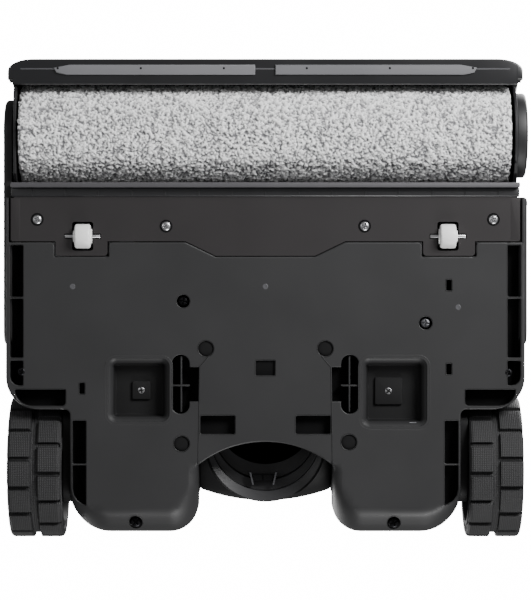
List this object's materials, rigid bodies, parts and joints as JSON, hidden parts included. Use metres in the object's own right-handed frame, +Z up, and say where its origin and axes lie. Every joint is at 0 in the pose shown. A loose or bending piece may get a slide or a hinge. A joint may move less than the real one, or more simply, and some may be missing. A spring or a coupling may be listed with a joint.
{
  "type": "floor washer head",
  "caption": "Powered head of an upright floor washer: fleece roller under a lift-off cover, squeegee, driven rear wheels, guide rollers, tilting swivelling neck.",
  "frame": {"origin": "bottom centre of the head's box, on the floor under its middle", "axes": "+Z up, -Y forward towards the roller, +X towards the roller's pull-out cap"},
  "size_m": [0.292, 0.268, 0.168],
  "materials": {
    "deck_plastic": "matte",
    "retainer_plastic": "matte",
    "shell_plastic": "satin",
    "dark_plastic": "matte",
    "gloss_shell": "gloss",
    "lip_strip": "matte",
    "button_plastic": "satin",
    "white_acetal": "satin",
    "bush_acetal": "satin",
    "fleece": "fleece",
    "blade_rubber": "matte",
    "tyre_rubber": "matte",
    "hose_rubber": "matte",
    "belt_rubber": "matte",
    "steel": "brushed",
    "black_steel": "black zinc",
    "motor_steel": "satin",
    "bracket_steel": "satin",
    "aluminium_core": "satin",
    "brass_pinion": "machined",
    "silicone_tube": "satin",
    "board_laminate": "gloss"
  },
  "bodies": {
    "root": {"base_plate": "deck_plastic", "roller_plate": "retainer_plastic", "plate_screws": "steel", "base_screws": "black_steel", "screw_plugs": "dark_plastic", "squeegee_holder": "dark_plastic", "squeegee_blade": "blade_rubber", "top_housing": "shell_plastic", "belt_cover": "dark_plastic", "side_panel": "shell_plastic", "chamber_liner": "dark_plastic", "spray_bar": "dark_plastic", "water_tube": "silicone_tube", "suction_duct": "dark_plastic", "duct_hose": "hose_rubber", "brush_motor": "motor_steel", "drive_belt": "belt_rubber", "spindle_bearing": "steel", "control_board": "board_laminate", "trunnion_bushes": "bush_acetal", "guide_pins": "steel", "left_wheel_motor": "motor_steel", "right_wheel_motor": "motor_steel", "left_motor_bracket": "bracket_steel", "right_motor_bracket": "bracket_steel", "left_axle_bush": "bush_acetal", "right_axle_bush": "bush_acetal"},
    "cartridge": {"roller_cap": "shell_plastic", "cap_bearing": "steel"},
    "roller": {"roller_core": "aluminium_core", "roller_sleeve": "fleece", "drive_socket": "dark_plastic", "idler_plug": "dark_plastic"},
    "spindle": {"drive_spindle": "steel", "spindle_pulley": "dark_plastic"},
    "motor_rotor": {"motor_pulley": "dark_plastic"},
    "cover": {"roller_cover": "gloss_shell", "cover_lip": "lip_strip"},
    "left_latch": {"left_latch_button": "button_plastic"},
    "right_latch": {"right_latch_button": "button_plastic"},
    "left_wheel": {"left_tyre": "tyre_rubber", "left_rim": "shell_plastic", "left_hubcap": "button_plastic", "left_axle": "steel", "left_wheel_gear": "bush_acetal"},
    "right_wheel": {"right_tyre": "tyre_rubber", "right_rim": "shell_plastic", "right_hubcap": "button_plastic", "right_axle": "steel", "right_wheel_gear": "bush_acetal"},
    "left_pinion_shaft": {"left_pinion": "brass_pinion"},
    "right_pinion_shaft": {"right_pinion": "brass_pinion"},
    "left_guide": {"left_guide_roller": "white_acetal"},
    "right_guide": {"right_guide_roller": "white_acetal"},
    "neck": {"neck_yoke": "shell_plastic"},
    "swivel": {"swivel_tube": "shell_plastic"},
    "release": {"release_button": "button_plastic"}
  },
  "joints": [
    {"name": "roller_removal", "type": "slide", "parent": "root", "child": "cartridge", "axis": [1, 0, 0], "range_m": [0, 0.3]},
    {"name": "roller_spin", "type": "hinge", "parent": "cartridge", "child": "roller", "pos_m": [0, -0.0925, 0.0283], "axis": [1, 0, 0], "continuous": true},
    {"name": "spindle_spin", "type": "hinge", "parent": "root", "child": "spindle", "pos_m": [0, -0.0925, 0.0283], "axis": [1, 0, 0], "continuous": true},
    {"name": "brush_motor_spin", "type": "hinge", "parent": "root", "child": "motor_rotor", "pos_m": [0, -0.0362, 0.046], "axis": [1, 0, 0], "continuous": true},
    {"name": "cover_lift", "type": "slide", "parent": "root", "child": "cover", "axis": [0, -0.3, 0.9539], "range_m": [0, 0.08]},
    {"name": "left_latch_press", "type": "slide", "parent": "cover", "child": "left_latch", "axis": [0, 0, -1], "range_m": [0, 0.0018], "stiffness_N_per_m": 400},
    {"name": "right_latch_press", "type": "slide", "parent": "cover", "child": "right_latch", "axis": [0, 0, -1], "range_m": [0, 0.0018], "stiffness_N_per_m": 400},
    {"name": "left_wheel_spin", "type": "hinge", "parent": "root", "child": "left_wheel", "pos_m": [0, 0.0943, 0.0397], "axis": [1, 0, 0], "continuous": true},
    {"name": "right_wheel_spin", "type": "hinge", "parent": "root", "child": "right_wheel", "pos_m": [0, 0.0943, 0.0397], "axis": [1, 0, 0], "continuous": true},
    {"name": "left_pinion_spin", "type": "hinge", "parent": "root", "child": "left_pinion_shaft", "pos_m": [0, 0.07392, 0.03386], "axis": [1, 0, 0], "continuous": true},
    {"name": "right_pinion_spin", "type": "hinge", "parent": "root", "child": "right_pinion_shaft", "pos_m": [0, 0.07392, 0.03386], "axis": [1, 0, 0], "continuous": true},
    {"name": "left_guide_spin", "type": "hinge", "parent": "root", "child": "left_guide", "pos_m": [0, -0.0354, 0.00675], "axis": [1, 0, 0], "continuous": true},
    {"name": "right_guide_spin", "type": "hinge", "parent": "root", "child": "right_guide", "pos_m": [0, -0.0354, 0.00675], "axis": [1, 0, 0], "continuous": true},
    {"name": "neck_tilt", "type": "hinge", "parent": "root", "child": "neck", "pos_m": [0, 0.084, 0.042], "axis": [-1, 0, 0], "range_deg": [0, 70]},
    {"name": "neck_swivel", "type": "hinge", "parent": "neck", "child": "swivel", "pos_m": [0, 0.0802, 0.1], "axis": [0, 0, 1], "range_deg": [-35, 35]},
    {"name": "release_press", "type": "slide", "parent": "swivel", "child": "release", "axis": [0, 1, 0], "range_m": [0, 0.003], "stiffness_N_per_m": 400}
  ],
  "couplings": [
    {"joint": "spindle_spin", "follows": "roller_spin", "ratio": 1},
    {"joint": "brush_motor_spin", "follows": "roller_spin", "ratio": 2},
    {"joint": "left_pinion_spin", "follows": "left_wheel_spin", "ratio": -2.5},
    {"joint": "right_pinion_spin", "follows": "right_wheel_spin", "ratio": -2.5}
  ]
}
